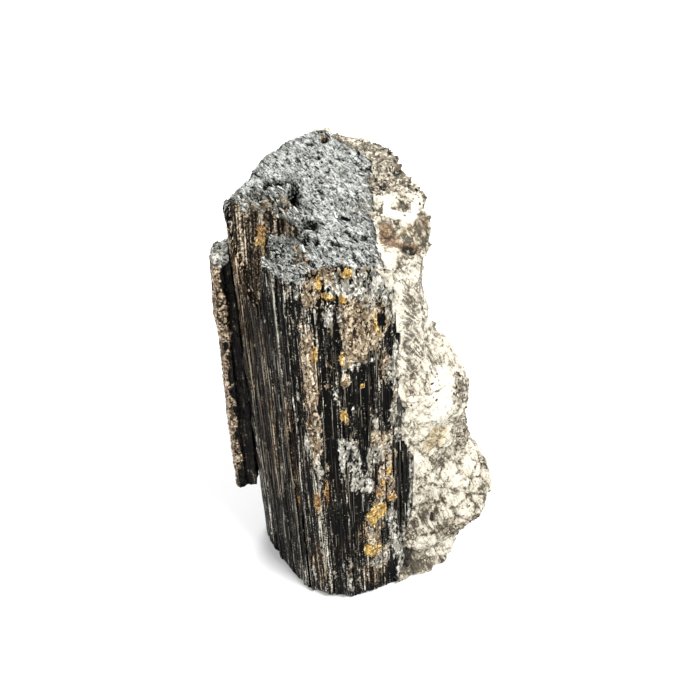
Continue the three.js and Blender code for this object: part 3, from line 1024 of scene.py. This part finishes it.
def matrix_material():
    """The rock: pale feldspar, warmer in places, with mica, white and brown patches, and pits painted dark as
    shade.
    """
    s = Shader("feldspar")
    mica, white, brown, dark = s.channels("marks")
    yellow = s.channels("zones")[0]
    clouds = s.noise(s.place(5), 3)
    blotches = s.noise(s.place(1.7), 4, 0.65)
    dust = s.noise(s.place(0.6), 3, 0.7)
    grains = s.grains(s.place(0.5))

    body = rock_body(s, clouds, blotches, dust, grains)
    color = s.ramp(
        body,
        (0.1, 70, 63, 51),
        (0.26, 128, 120, 103),
        (0.38, 170, 163, 146),
        (0.5, 194, 189, 173),
        (0.8, 211, 207, 194),
    )
    warm = s.ramp(body, (0.14, 100, 84, 60), (0.38, 172, 158, 126), (0.8, 210, 201, 172))
    color = s.mix(s.band(s.total((yellow, 0.8), (blotches, 1.0)), 0.75, 1.1), color, warm)

    texture = s.total((blotches, 2.0), (dust, 1.2), (grains, 0.25), -1.72)

    def cover(amount, low, high):
        return s.band(s.total(amount, texture), low, high)

    micas = s.ramp(
        grains,
        (0.0, 36, 31, 26),
        (0.3, 92, 83, 70),
        (0.6, 140, 130, 113),
        (0.85, 184, 175, 157),
        (1.0, 216, 209, 193),
    )
    white_spread = s.total((blotches, 0.6), (grains, 0.2))
    whites = s.ramp(white_spread, (0.2, 168, 164, 153), (0.4, 208, 205, 194), (0.6, 222, 219, 209))
    brown_spread = s.total((blotches, 0.7), (grains, 0.3))
    browns = s.ramp(brown_spread, (0.3, 40, 28, 18), (0.5, 96, 74, 52), (0.7, 156, 134, 106))
    # Painted shade: the pits' near-black colour.
    darks = s.ramp(grains, (0.1, 7, 6, 5), (0.9, 40, 36, 30))
    color = s.mix(cover(mica, 0.42, 0.56), color, micas)
    color = s.mix(s.band(s.total(white, (blotches, 0.8)), 0.8, 1.1), color, whites)
    color = s.mix(cover(brown, 0.4, 0.7), color, browns)
    color = s.mix(cover(dark, 0.5, 0.62), color, darks)
    relief = s.total((grains, 0.4), (dust, 0.8), (blotches, 0.8))
    return s.finish(color, 0.5, s.bump(relief, 0.7, 0.4), 0.3)


def grain_material():
    """The small pieces: each in its own stored colour, a little mottled."""
    s = Shader("grains")
    stored = s.attribute("tone", "Color")
    mottle = s.noise(s.place(0.35), 2)
    color = s.mix(0.6, stored, s.ramp(mottle, (0.3, 110, 106, 100), (0.7, 255, 255, 252)), "MULTIPLY")
    return s.finish(color, 0.5, s.bump(mottle, 0.3, 0.1), 0.1)


# ---- Building ----


def place_piece(piece, node):
    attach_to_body(piece, "root")
    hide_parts(node)


def build_prism():
    skin = Skin("main_crystal", *PRISM_FACES)
    marks, top, painted_strip_shade, hollow_shade, riser = shape_prism(skin, Outline())
    piece = skin.made("schorl_prism", schorl_material())
    attach(piece, "marks", *(marks[kind] for kind in ("tan", "pale", "gold", "brown")))
    attach(piece, "zones", marks["black"], top, painted_strip_shade, hollow_shade)
    attach(piece, "riser", riser)
    place_piece(piece, "main_crystal")
    return skin, marks, top


def build_side():
    skin = Skin("side_crystal", *SIDE_FACES)
    mica, cap = shape_side(skin)
    piece = skin.made("side_prism", side_material())
    attach(piece, "zones", mica, cap, 0 * cap, 0 * cap)
    place_piece(piece, "side_crystal")
    return skin, mica


def build_matrix():
    skin = Skin("matrix", *MATRIX_FACES)
    # tone is the blocks' own random tone less the painted shade of the shade marks.
    marks, tone, cracks = shape_matrix(skin)
    piece = skin.made("matrix_rock", matrix_material())
    attach(piece, "marks", *(marks[kind] for kind in ("mica", "white", "brown", "dark")))
    attach(piece, "zones", marks["yellow"], tone, cracks, marks["sheets"])
    place_piece(piece, "matrix")
    return skin, marks


prism_skin, prism_marks, prism_top = build_prism()
side_skin, side_mica = build_side()
matrix_skin, matrix_marks = build_matrix()

# Colours of small pieces on the screen, and how often each comes.
# Painted glitter: the top splinters' greys stand in for light off the broken top's black facets.
GLITTER_GREYS = [((44, 45, 43), 2), ((120, 122, 118), 3), ((168, 170, 165), 4), ((220, 222, 217), 2)]
TANS = [((58, 46, 36), 2), ((122, 104, 82), 4), ((170, 152, 126), 3), ((212, 200, 176), 1.5)]
PALES = [((58, 58, 54), 3), ((118, 118, 112), 3), ((156, 155, 147), 2), ((200, 198, 189), 0.5)]
GOLDS = [((112, 82, 44), 2), ((172, 138, 78), 3), ((208, 180, 116), 2)]
CREAMS = [((112, 104, 88), 1), ((160, 153, 136), 3), ((190, 184, 168), 4), ((214, 210, 198), 1.5)]
MICAS = [((48, 42, 35), 1.5), ((92, 83, 70), 3), ((142, 132, 114), 3), ((200, 191, 172), 2)]
BLACKS = [((10, 9, 8), 3), ((32, 29, 25), 1)]
# The dark colours are the crystal's own black; the light ones are painted glints along the striations.
LINES_AND_GLINTS = [((7, 6, 5), 6), ((30, 26, 22), 2), ((72, 66, 56), 3), ((124, 116, 103), 2.5), ((196, 192, 180), 0.8)]

# The way a small piece's length runs before it is laid on the skin, and how far it strays from that.
UPRIGHT, PLUMB, STREAKED = (0, 0, 1, 0.35), (0, 0, 1, 0.004), (*STREAK, -0.1, 0.35)
ANY_WAY, FLAT = (0, 0, 0, 0.5), (0, 0, 0, 0.2)

# A small piece's length, width and thickness for its size.
GRAIN, CHIP, FLAKE = (1.0, 0.9, 0.7), (1.6, 0.7, 0.6), (1.4, 0.9, 0.3)
SPLINTER, NEEDLE = (2.2, 0.6, 0.4), (1.0, 0.014, 0.012)

LINES_UP, LINES_DOWN = (9, 16), (86, 84)  # the heights over which the striation lines begin and end

prism_x, prism_y, prism_up = prism_skin.points.T
bare = np.clip(1 - prism_marks["tan"] - prism_marks["pale"], 0, 1) * (np.abs(prism_skin.normals[:, 2]) < 0.3)
bare *= step(*LINES_DOWN, prism_up) * step(*LINES_UP, prism_up) * (1 + step(-6, -12, prism_x))
rough_top = prism_top * (0.15 + step(1, -5, prism_x) * step(9, 1, prism_y))
clumped = np.clip(fractal(matrix_skin.points / 5.0, 3, 82) - 0.1, 0, 1) * (matrix_marks["white"] < 0.2)
mica_weight = matrix_marks["mica"] + 0.04 * np.clip(fractal(matrix_skin.points / 4, 2, 83), 0, 1)

# Name, skin, where they lie, how many, size, shape, lie, colours and seed.
SMALL_PIECES = [
    ("top_splinters", prism_skin, rough_top, 2600, (0.25, 1.0), SPLINTER, STREAKED, GLITTER_GREYS, 1),
    ("striation_lines", prism_skin, bare, 4200, (3.0, 18.0), NEEDLE, PLUMB, LINES_AND_GLINTS, 9),
    ("tan_grains", prism_skin, prism_marks["tan"], 2600, (0.25, 1.0), GRAIN, UPRIGHT, TANS, 2),
    ("pale_grains", prism_skin, prism_marks["pale"], 2600, (0.25, 1.0), CHIP, UPRIGHT, PALES, 3),
    ("gold_grains", prism_skin, prism_marks["gold"], 500, (0.25, 0.9), GRAIN, UPRIGHT, GOLDS, 4),
    ("side_grains", side_skin, side_mica, 450, (0.25, 1.0), GRAIN, UPRIGHT, TANS, 5),
    ("feldspar_grains", matrix_skin, clumped, 2400, (0.25, 0.9), GRAIN, ANY_WAY, CREAMS, 6),
    ("mica_flakes", matrix_skin, mica_weight, 2200, (0.3, 1.1), FLAKE, FLAT, MICAS, 7),
    ("schorl_specks", matrix_skin, clumped, 100, (0.3, 1.1), GRAIN, ANY_WAY, BLACKS, 8),
]

grain = grain_material()
for row in SMALL_PIECES:
    scatter(*row, grain)

# ---- Floor, light and camera ----

FLOOR_SIZE = 3.0  # metres from its middle to its edges
FLOOR_GAP = 0.0002  # metres that it lies under the specimen
WORLD_LIGHT = 0.42

# Lights: name, place and target in metres, width in metres and watts.
LIGHTS = [
    ("key", (0.35, -0.30, 0.55), (0, 0, 0.05), 0.30, 6.5),
    ("fill", (-0.45, -0.40, 0.35), (0, 0, 0.05), 0.40, 2.4),
    ("back", (0.05, 0.45, 0.50), (0, 0, 0.08), 0.35, 3.0),
]

VIEW_PITCH, VIEW_ROLL = math.radians(40), math.radians(-3)  # down from level, and about the line of sight
VIEW_DISTANCE = 0.27  # metres from the camera to what it looks at
VIEW_OFFSET = Vector((-0.0019, 0.0079, -0.00125))  # of what it looks at from the middle of the box
LENS = 56.06  # mm


def make_floor():
    shader = Shader("floor_paper")
    mottle = shader.noise(shader.place(40), 2)
    color = shader.ramp(mottle, (0.3, 244, 244, 244), (0.7, 246, 246, 246))
    material = shader.finish(color, 0.9, shader.bump(mottle, 0.02, 0.1), 0.1)
    mesh = bpy.data.meshes.new("floor")
    corners = [(x * FLOOR_SIZE, y * FLOOR_SIZE, 0) for x, y in ((-1, -1), (1, -1), (1, 1), (-1, 1))]
    mesh.from_pydata(corners, [], [(0, 1, 2, 3)])
    mesh.materials.append(material)
    floor = added("floor", mesh)
    floor.location.z = cad_box[0].z - FLOOR_GAP


def make_light(name, place, target, size, power):
    light = bpy.data.lights.new(name, "AREA")
    light.shape = "DISK"
    light.size = size
    light.energy = power
    made = added(name, light)
    made.location = place
    made.rotation_euler = (Vector(target) - Vector(place)).to_track_quat("-Z", "Y").to_euler()


def make_camera():
    """Looks down from the front, rolled a little."""
    target = (cad_box[0] + cad_box[1]) / 2 + VIEW_OFFSET
    forward = Vector((0, math.cos(VIEW_PITCH), -math.sin(VIEW_PITCH)))
    right = Vector((1, 0, 0))
    up = right.cross(forward)
    turned_right = right * math.cos(VIEW_ROLL) + up * math.sin(VIEW_ROLL)
    turned_up = -right * math.sin(VIEW_ROLL) + up * math.cos(VIEW_ROLL)
    data = bpy.data.cameras.new("camera")
    data.lens = LENS
    camera = added("camera", data)
    turn = Matrix((turned_right, turned_up, -forward)).transposed().to_4x4()
    camera.matrix_world = Matrix.Translation(target - forward * VIEW_DISTANCE) @ turn
    bpy.context.scene.camera = camera


def make_world():
    world = bpy.data.worlds.new("studio")
    world.use_nodes = True
    background = world.node_tree.nodes["Background"]
    background.inputs["Color"].default_value = (1, 1, 1, 1)
    background.inputs["Strength"].default_value = WORLD_LIGHT
    bpy.context.scene.world = world


make_floor()
make_world()
for row in LIGHTS:
    make_light(*row)
make_camera()
bpy.context.scene.view_settings.view_transform = "Standard"
bpy.context.scene.view_settings.look = "None"
